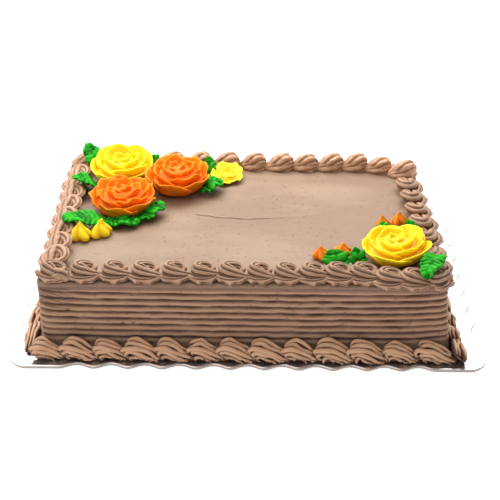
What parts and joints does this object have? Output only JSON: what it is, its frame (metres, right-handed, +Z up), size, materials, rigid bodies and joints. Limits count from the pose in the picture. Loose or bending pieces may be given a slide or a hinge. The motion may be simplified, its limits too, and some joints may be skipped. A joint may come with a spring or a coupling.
{
  "type": "sheet cake",
  "caption": "Uncut chocolate-iced sheet cake with piped borders, comb-lined sides, yellow and orange icing roses and green leaves, on a scalloped foil cake board.",
  "frame": {"origin": "middle of the board's underside, on the surface that the cake stands on", "axes": "+X along the long side to the right, +Y to the back, +Z up; the front faces -Y"},
  "size_m": [0.3556, 0.254, 0.0893],
  "materials": {
    "chocolate_icing": "soft satin buttercream",
    "foil_board": "smooth silver foil over cardboard, pale cut edge",
    "yellow_icing": "slightly glossy buttercream",
    "orange_icing": "slightly glossy buttercream",
    "green_icing": "glossy buttercream"
  },
  "bodies": {
    "root": {"board": "foil_board", "cake": "chocolate_icing", "top_border_front": "chocolate_icing", "top_border_back": "chocolate_icing", "top_border_left": "chocolate_icing", "top_border_right": "chocolate_icing", "base_border_front": "chocolate_icing", "base_border_back": "chocolate_icing", "base_border_left": "chocolate_icing", "base_border_right": "chocolate_icing", "rose_yellow_back": "yellow_icing", "rose_orange_left": "orange_icing", "rose_orange_right": "orange_icing", "rose_yellow_front": "yellow_icing", "blossom_yellow": "yellow_icing", "bud_yellow_left": "yellow_icing", "bud_yellow_right": "yellow_icing", "bud_orange_front_left": "orange_icing", "bud_orange_front_right": "orange_icing", "bud_orange_back_left": "orange_icing", "bud_orange_back_right": "orange_icing", "bud_orange_small": "orange_icing", "leaf_back_corner": "green_icing", "leaf_left_upper": "green_icing", "leaf_left_lower": "green_icing", "leaf_under_orange": "green_icing", "leaf_right_of_orange": "green_icing", "leaf_between_roses": "green_icing", "leaf_behind_blossom": "green_icing", "leaf_right_of_rose": "green_icing", "leaf_front_left": "green_icing", "leaf_front_middle": "green_icing", "leaf_behind_front_rose": "green_icing", "leaf_right_edge": "green_icing", "leaf_front_corner": "green_icing"}
  },
  "joints": []
}
